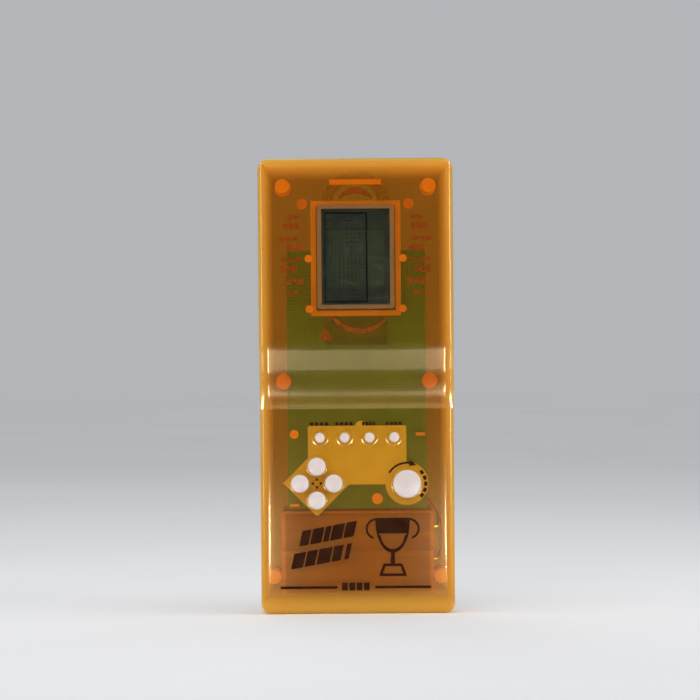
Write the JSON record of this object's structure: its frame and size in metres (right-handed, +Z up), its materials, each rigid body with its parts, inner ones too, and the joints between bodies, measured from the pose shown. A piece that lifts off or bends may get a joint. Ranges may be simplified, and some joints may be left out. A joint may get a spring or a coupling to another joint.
{
  "type": "handheld lcd game",
  "caption": "Handheld electronic game in a clear orange case: deep head with a small LCD, sloping down to a thinner panel with round keys, and a battery bay at the back.",
  "frame": {"origin": "middle of the bottom end, on the surface that the game stands on", "axes": "+Z up along the length, -Y out of the front with the display and keys, +X to the right seen from the front"},
  "size_m": [0.0746, 0.027, 0.175],
  "materials": {
    "case_plastic": "clear orange, polished",
    "window_plastic": "clear, polished",
    "screw_steel": "zinc plated",
    "display_film": "satin",
    "display_glass": "polished",
    "display_reflector": "satin",
    "black_plastic": "matt",
    "ribbon_film": "satin",
    "board_green": "solder mask, satin",
    "carbon": "matt",
    "black_resin": "satin",
    "capacitor_sleeve": "gloss",
    "resistor_body": "gloss",
    "silicone": "matt",
    "brass": "polished",
    "ceramic": "satin",
    "wire_red": "satin",
    "wire_black": "satin",
    "contact_metal": "nickel plated"
  },
  "bodies": {
    "case": {"front_shell": "case_plastic", "rear_shell": "case_plastic", "case_screws": "screw_steel", "board_screws": "screw_steel", "screen_window": "window_plastic", "lcd_front_film": "display_film", "lcd_front_glass": "display_glass", "lcd_rear_glass": "display_glass", "lcd_reflector": "display_reflector", "lcd_holder": "black_plastic", "lcd_ribbon": "ribbon_film", "main_board": "board_green", "key_contacts": "carbon", "chip_cover": "black_resin", "capacitors": "capacitor_sleeve", "resistors": "resistor_body", "buzzer_transistor": "black_resin", "keypad_mat": "silicone", "buzzer_disc": "brass", "buzzer_ceramic": "ceramic", "buzzer_wire_hot": "wire_red", "buzzer_wire_ground": "wire_black", "battery_wire_positive": "wire_red", "battery_wire_negative": "wire_black", "bridge_contact": "contact_metal", "bridge_spring": "contact_metal", "negative_contact": "contact_metal", "negative_spring": "contact_metal", "positive_contact": "contact_metal"},
    "battery_door": {"battery_door": "case_plastic"},
    "battery_door_screw": {"battery_door_screw": "screw_steel"},
    "key_on_off": {"key_on_off": "silicone", "pill_on_off": "carbon"},
    "key_sound": {"key_sound": "silicone", "pill_sound": "carbon"},
    "key_start_pause": {"key_start_pause": "silicone", "pill_start_pause": "carbon"},
    "key_reset": {"key_reset": "silicone", "pill_reset": "carbon"},
    "key_up": {"key_up": "silicone", "pill_up": "carbon"},
    "key_down": {"key_down": "silicone", "pill_down": "carbon"},
    "key_left": {"key_left": "silicone", "pill_left": "carbon"},
    "key_right": {"key_right": "silicone", "pill_right": "carbon"},
    "key_rotate": {"key_rotate": "silicone", "pill_rotate": "carbon"}
  },
  "joints": [
    {"name": "press_on_off", "type": "slide", "parent": "case", "child": "key_on_off", "axis": [0, 1, 0], "range_m": [0, 0.0012], "stiffness_N_per_m": 400, "springref_m": -0.0005},
    {"name": "press_sound", "type": "slide", "parent": "case", "child": "key_sound", "axis": [0, 1, 0], "range_m": [0, 0.0012], "stiffness_N_per_m": 400, "springref_m": -0.0005},
    {"name": "press_start_pause", "type": "slide", "parent": "case", "child": "key_start_pause", "axis": [0, 1, 0], "range_m": [0, 0.0012], "stiffness_N_per_m": 400, "springref_m": -0.0005},
    {"name": "press_reset", "type": "slide", "parent": "case", "child": "key_reset", "axis": [0, 1, 0], "range_m": [0, 0.0012], "stiffness_N_per_m": 400, "springref_m": -0.0005},
    {"name": "press_up", "type": "slide", "parent": "case", "child": "key_up", "axis": [0, 1, 0], "range_m": [0, 0.0012], "stiffness_N_per_m": 400, "springref_m": -0.0005},
    {"name": "press_down", "type": "slide", "parent": "case", "child": "key_down", "axis": [0, 1, 0], "range_m": [0, 0.0012], "stiffness_N_per_m": 400, "springref_m": -0.0005},
    {"name": "press_left", "type": "slide", "parent": "case", "child": "key_left", "axis": [0, 1, 0], "range_m": [0, 0.0012], "stiffness_N_per_m": 400, "springref_m": -0.0005},
    {"name": "press_right", "type": "slide", "parent": "case", "child": "key_right", "axis": [0, 1, 0], "range_m": [0, 0.0012], "stiffness_N_per_m": 400, "springref_m": -0.0005},
    {"name": "press_rotate", "type": "slide", "parent": "case", "child": "key_rotate", "axis": [0, 1, 0], "range_m": [0, 0.0012], "stiffness_N_per_m": 400, "springref_m": -0.0005},
    {"name": "door_tilt", "type": "hinge", "parent": "case", "child": "battery_door", "pos_m": [0, 0.0135, 0.0071], "axis": [-1, 0, 0], "range_deg": [0, 75]},
    {"name": "door_screw_turn", "type": "hinge", "parent": "battery_door", "child": "battery_door_screw", "pos_m": [0, 0.0125, 0.0434], "axis": [0, 1, 0], "continuous": true}
  ]
}
